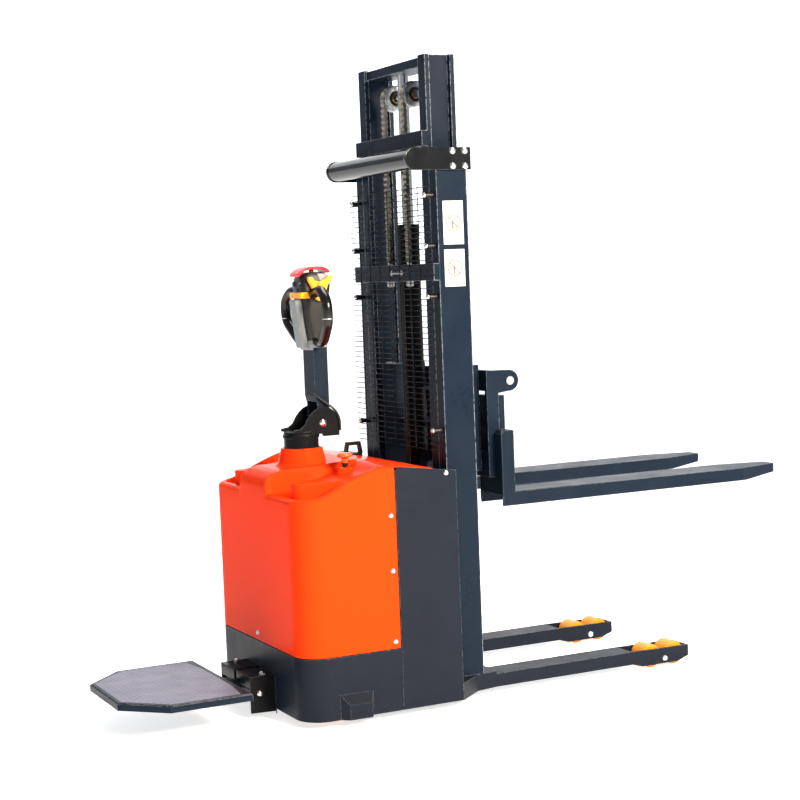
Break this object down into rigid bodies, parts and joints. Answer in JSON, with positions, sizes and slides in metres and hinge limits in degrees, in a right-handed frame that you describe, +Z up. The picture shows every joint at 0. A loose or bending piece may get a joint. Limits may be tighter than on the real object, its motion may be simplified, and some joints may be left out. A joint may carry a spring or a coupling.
{
  "type": "rider pallet stacker",
  "caption": "Electric pallet stacker with a two-stage chain-lift mast, forks over straddle legs, steered tiller and a fold-up rider platform.",
  "frame": {"origin": "centre of the bounding box, on the floor plane under the wheels", "axes": "+X towards the fork tips, +Y to the operator's left when facing the forks, +Z up"},
  "size_m": [2.435, 0.808, 2.095],
  "materials": {
    "frame_paint": "semi-gloss dark blue-grey paint",
    "mast_paint": "semi-gloss dark blue-grey paint",
    "fork_paint": "semi-gloss dark blue paint, worn at the edges",
    "black_paint": "gloss black paint",
    "red_cover": "gloss red moulded cover",
    "black_plastic": "fine-grained black plastic",
    "grey_plastic": "light grey moulded plastic",
    "yellow_plastic": "yellow moulded plastic",
    "blue_plastic": "blue button cap",
    "orange_plastic": "orange-red moulded plastic",
    "zinc": "bright zinc plating",
    "chrome_rod": "hard-chromed ground rod",
    "steel": "machined steel",
    "chain_steel": "oiled leaf chain steel",
    "cast": "cast gear housing",
    "wheel_pu": "yellow-orange polyurethane",
    "hose_rubber": "black hose rubber",
    "platform_grey": "grey paint under a ribbed rubber mat"
  },
  "bodies": {
    "truck": {"chassis": "frame_paint", "legs": "frame_paint", "outer_mast": "mast_paint", "tie_bar": "black_paint", "guard_mesh": "black_paint", "mast_bolts": "zinc", "hood": "red_cover", "hood_screws": "zinc", "battery": "black_plastic", "power_pack": "steel", "controller": "black_plastic", "lift_barrel": "black_paint", "lift_hoses": "hose_rubber", "chain_anchors": "zinc", "chain_rear": "chain_steel", "leg_bolts": "zinc", "platform_bracket": "black_paint", "platform_pin": "zinc", "slew_bearing": "steel", "connector_base": "black_plastic"},
    "inner_mast": {"inner_mast": "mast_paint", "piston_rod": "chrome_rod", "chain_arc": "chain_steel", "chain_front": "chain_steel"},
    "mast_rollers_top": {"mast_rollers_top": "steel"},
    "mast_rollers_bottom": {"mast_rollers_bottom": "steel"},
    "chain_pulleys": {"chain_pulleys": "zinc"},
    "carriage": {"carriage": "fork_paint", "carriage_pins": "zinc", "fork_left": "fork_paint", "fork_right": "fork_paint"},
    "carriage_rollers_top": {"carriage_rollers_top": "steel"},
    "carriage_rollers_bottom": {"carriage_rollers_bottom": "steel"},
    "steering": {"steering_column": "black_paint", "drive_unit": "cast", "drive_motor": "cast", "tiller_pin": "zinc", "tiller_cable": "hose_rubber"},
    "drive_wheel": {"drive_wheel": "wheel_pu"},
    "tiller": {"tiller_arm": "frame_paint", "head_body": "black_plastic", "head_cover": "grey_plastic", "grips": "black_plastic"},
    "throttle": {"throttle": "yellow_plastic"},
    "belly_button": {"belly_button": "orange_plastic"},
    "lift_button": {"lift_button": "blue_plastic"},
    "lower_button": {"lower_button": "blue_plastic"},
    "horn_button": {"horn_button": "orange_plastic"},
    "caster_left": {"caster_left": "zinc"},
    "caster_right": {"caster_right": "zinc"},
    "caster_wheel_left": {"caster_wheel_left": "wheel_pu"},
    "caster_wheel_right": {"caster_wheel_right": "wheel_pu"},
    "bogie_left": {"bogie_left": "steel"},
    "bogie_right": {"bogie_right": "steel"},
    "load_wheel_lf": {"load_wheel_lf": "wheel_pu"},
    "load_wheel_lr": {"load_wheel_lr": "wheel_pu"},
    "load_wheel_rf": {"load_wheel_rf": "wheel_pu"},
    "load_wheel_rr": {"load_wheel_rr": "wheel_pu"},
    "platform": {"platform": "platform_grey"},
    "stop_knob": {"stop_knob": "orange_plastic"}
  },
  "joints": [
    {"name": "inner_lift", "type": "slide", "parent": "truck", "child": "inner_mast", "axis": [0, 0, 1], "range_m": [-0.287, 0.96], "deforming": ["chain_rear"]},
    {"name": "carriage_lift", "type": "slide", "parent": "inner_mast", "child": "carriage", "axis": [0, 0, 1], "range_m": [-0.287, 0.96], "deforming": ["chain_front"]},
    {"name": "mast_roller_top_spin", "type": "hinge", "parent": "truck", "child": "mast_rollers_top", "pos_m": [-0.079, 0, 1.74], "axis": [0, 1, 0], "range_deg": [-1480, 444]},
    {"name": "mast_roller_bottom_spin", "type": "hinge", "parent": "inner_mast", "child": "mast_rollers_bottom", "pos_m": [-0.0775, 0, 0.42], "axis": [0, 1, 0], "range_deg": [-1353, 406]},
    {"name": "pulley_spin", "type": "hinge", "parent": "inner_mast", "child": "chain_pulleys", "pos_m": [-0.0865, 0, 1.985], "axis": [0, 1, 0], "range_deg": [-1430, 429]},
    {"name": "carriage_roller_top_spin", "type": "hinge", "parent": "carriage", "child": "carriage_rollers_top", "pos_m": [-0.079, 0, 1.056], "axis": [0, 1, 0], "range_deg": [-444, 1480]},
    {"name": "carriage_roller_bottom_spin", "type": "hinge", "parent": "carriage", "child": "carriage_rollers_bottom", "pos_m": [-0.079, 0, 0.763], "axis": [0, 1, 0], "range_deg": [-1480, 444]},
    {"name": "steer", "type": "hinge", "parent": "truck", "child": "steering", "pos_m": [-0.5095, 0, 0], "axis": [0, 0, 1], "range_deg": [-90, 90]},
    {"name": "drive_spin", "type": "hinge", "parent": "steering", "child": "drive_wheel", "pos_m": [-0.5095, 0, 0.115], "axis": [0, 1, 0], "continuous": true},
    {"name": "tiller_tilt", "type": "hinge", "parent": "steering", "child": "tiller", "pos_m": [-0.4525, 0, 0.921], "axis": [0, -1, 0], "range_deg": [0, 75], "stiffness_Nm_per_rad": 25, "springref_deg": -34.38},
    {"name": "throttle_turn", "type": "hinge", "parent": "tiller", "child": "throttle", "pos_m": [-0.4445, 0, 1.37], "axis": [0, 1, 0], "range_deg": [-25, 25], "stiffness_Nm_per_rad": 1.2},
    {"name": "belly_press", "type": "slide", "parent": "tiller", "child": "belly_button", "axis": [0, 0, -1], "range_m": [0, 0.004], "stiffness_N_per_m": 900, "springref_m": -0.002},
    {"name": "lift_press", "type": "slide", "parent": "tiller", "child": "lift_button", "axis": [1, 0, 0], "range_m": [0, 0.004], "stiffness_N_per_m": 500, "springref_m": -0.002},
    {"name": "lower_press", "type": "slide", "parent": "tiller", "child": "lower_button", "axis": [1, 0, 0], "range_m": [0, 0.004], "stiffness_N_per_m": 500, "springref_m": -0.002},
    {"name": "horn_press", "type": "slide", "parent": "tiller", "child": "horn_button", "axis": [1, 0, 0], "range_m": [0, 0.004], "stiffness_N_per_m": 500, "springref_m": -0.002},
    {"name": "caster_left_swivel", "type": "hinge", "parent": "truck", "child": "caster_left", "pos_m": [-0.5195, 0.27, 0], "axis": [0, 0, 1], "continuous": true},
    {"name": "caster_right_swivel", "type": "hinge", "parent": "truck", "child": "caster_right", "pos_m": [-0.5195, -0.27, 0], "axis": [0, 0, 1], "continuous": true},
    {"name": "caster_left_spin", "type": "hinge", "parent": "caster_left", "child": "caster_wheel_left", "pos_m": [-0.5645, 0.27, 0.0625], "axis": [0, 1, 0], "continuous": true},
    {"name": "caster_right_spin", "type": "hinge", "parent": "caster_right", "child": "caster_wheel_right", "pos_m": [-0.5645, -0.27, 0.0625], "axis": [0, 1, 0], "continuous": true},
    {"name": "bogie_left_rock", "type": "hinge", "parent": "truck", "child": "bogie_left", "pos_m": [0.7015, 0.241, 0.03], "axis": [0, 1, 0], "range_deg": [-4, 4]},
    {"name": "bogie_right_rock", "type": "hinge", "parent": "truck", "child": "bogie_right", "pos_m": [0.7015, -0.241, 0.03], "axis": [0, 1, 0], "range_deg": [-4, 4]},
    {"name": "load_wheel_lf_spin", "type": "hinge", "parent": "bogie_left", "child": "load_wheel_lf", "pos_m": [0.7485, 0.241, 0.04], "axis": [0, 1, 0], "continuous": true},
    {"name": "load_wheel_lr_spin", "type": "hinge", "parent": "bogie_left", "child": "load_wheel_lr", "pos_m": [0.6545, 0.241, 0.04], "axis": [0, 1, 0], "continuous": true},
    {"name": "load_wheel_rf_spin", "type": "hinge", "parent": "bogie_right", "child": "load_wheel_rf", "pos_m": [0.7485, -0.241, 0.04], "axis": [0, 1, 0], "continuous": true},
    {"name": "load_wheel_rr_spin", "type": "hinge", "parent": "bogie_right", "child": "load_wheel_rr", "pos_m": [0.6545, -0.241, 0.04], "axis": [0, 1, 0], "continuous": true},
    {"name": "platform_fold", "type": "hinge", "parent": "truck", "child": "platform", "pos_m": [-0.7445, 0, 0.082], "axis": [0, 1, 0], "range_deg": [0, 84]},
    {"name": "stop_press", "type": "slide", "parent": "truck", "child": "stop_knob", "axis": [0, 0, -1], "range_m": [0, 0.006]}
  ],
  "couplings": [
    {"joint": "carriage_lift", "follows": "inner_lift", "ratio": 1},
    {"joint": "mast_roller_top_spin", "follows": "inner_lift", "rad_per_m": -26.882},
    {"joint": "mast_roller_bottom_spin", "follows": "inner_lift", "rad_per_m": -24.57},
    {"joint": "pulley_spin", "follows": "inner_lift", "rad_per_m": -25.974},
    {"joint": "carriage_roller_top_spin", "follows": "inner_lift", "rad_per_m": 26.882},
    {"joint": "carriage_roller_bottom_spin", "follows": "inner_lift", "rad_per_m": -26.882}
  ]
}
